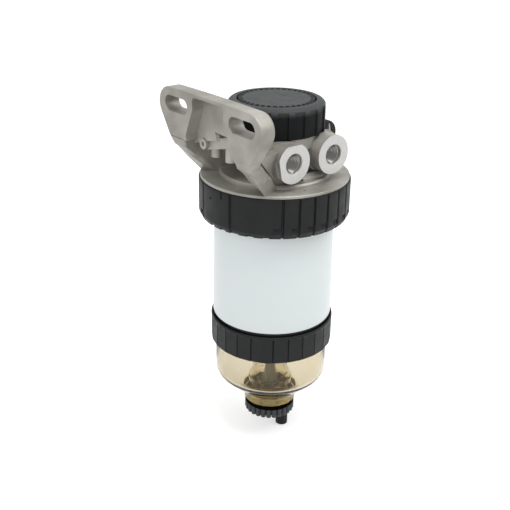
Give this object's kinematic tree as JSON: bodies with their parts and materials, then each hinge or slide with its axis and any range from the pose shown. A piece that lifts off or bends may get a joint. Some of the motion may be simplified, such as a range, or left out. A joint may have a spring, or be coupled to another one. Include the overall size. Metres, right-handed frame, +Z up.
{
  "type": "fuel water separator",
  "caption": "Fuel filter and water separator: cast head with slotted bracket, side ports and hand primer over a white canister and clear drain bowl.",
  "frame": {"origin": "midway between the two bracket slots, on the bracket's mounting face", "axes": "+Z up along the filter axis, +X the way the two ports face, -Y out of the mounting face"},
  "size_m": [0.118, 0.1196, 0.2881],
  "materials": {
    "cast_aluminium": "as-cast, machined on the port faces",
    "black_plastic": "satin moulded",
    "knob_plastic": "satin moulded",
    "white_can": "smooth enamel",
    "clear_bowl": "clear amber plastic",
    "grey_plastic": "moulded",
    "drain_plastic": "satin moulded",
    "seal_rubber": "smooth",
    "steel": "zinc plated",
    "filter_paper": "resin-treated paper",
    "brass": "turned"
  },
  "bodies": {
    "head": {"head_casting": "cast_aluminium", "pump_gland": "black_plastic", "valve_cage": "brass", "canister": "white_can", "can_gasket": "seal_rubber", "canister_base": "grey_plastic", "element_top_cap": "steel", "element_bottom_cap": "steel", "element_pleats": "filter_paper", "element_tube": "steel", "element_grommet": "seal_rubber", "pump_spring": "steel"},
    "plunger": {"pump_plunger": "grey_plastic", "plunger_seal": "seal_rubber"},
    "knob": {"primer_knob": "knob_plastic", "knob_cap": "knob_plastic", "knob_screw": "steel"},
    "ball": {"check_ball": "steel"},
    "vent_ring": {"vent_seal": "seal_rubber"},
    "vent": {"vent_screw": "black_plastic"},
    "collar": {"locking_collar": "black_plastic"},
    "bowl": {"water_bowl": "clear_bowl", "bowl_seal": "seal_rubber", "water_bell": "clear_bowl"},
    "bowl_ring": {"bowl_collar": "black_plastic"},
    "drain_valve": {"drain_stem": "grey_plastic", "drain_seal": "seal_rubber"},
    "drain_grip": {"drain_knob": "drain_plastic", "drain_spout": "black_plastic"}
  },
  "joints": [
    {"name": "primer_stroke", "type": "slide", "parent": "head", "child": "plunger", "axis": [0, 0, 1], "range_m": [0, 0.014], "deforming": ["pump_spring"]},
    {"name": "primer_lock", "type": "hinge", "parent": "plunger", "child": "knob", "pos_m": [0, 0.0625, 0], "axis": [0, 0, 1], "range_deg": [0, 90]},
    {"name": "check_ball_lift", "type": "slide", "parent": "head", "child": "ball", "axis": [0, 0, 1], "range_m": [0, 0.0015]},
    {"name": "vent_travel", "type": "slide", "parent": "head", "child": "vent_ring", "axis": [1, 0, 0], "range_m": [0, 0.0025]},
    {"name": "vent_turn", "type": "hinge", "parent": "vent_ring", "child": "vent", "pos_m": [0, 0.1073, -0.0286], "axis": [1, 0, 0], "range_deg": [0, 720]},
    {"name": "collar_lock", "type": "hinge", "parent": "head", "child": "collar", "pos_m": [0, 0.0625, 0], "axis": [0, 0, -1], "range_deg": [0, 45]},
    {"name": "bowl_drop", "type": "slide", "parent": "head", "child": "bowl", "axis": [0, 0, -1], "range_m": [0, 0.006]},
    {"name": "bowl_collar_turn", "type": "hinge", "parent": "bowl", "child": "bowl_ring", "pos_m": [0, 0.0625, 0], "axis": [0, 0, -1], "range_deg": [0, 720]},
    {"name": "drain_travel", "type": "slide", "parent": "bowl", "child": "drain_valve", "axis": [0, 0, -1], "range_m": [0, 0.003]},
    {"name": "drain_turn", "type": "hinge", "parent": "drain_valve", "child": "drain_grip", "pos_m": [0, 0.0625, 0], "axis": [0, 0, -1], "range_deg": [0, 360]}
  ],
  "couplings": [
    {"joint": "vent_travel", "follows": "vent_turn", "m_per_rad": 0.00019894},
    {"joint": "bowl_drop", "follows": "bowl_collar_turn", "m_per_rad": 0.00047746},
    {"joint": "drain_travel", "follows": "drain_turn", "m_per_rad": 0.00047746}
  ]
}
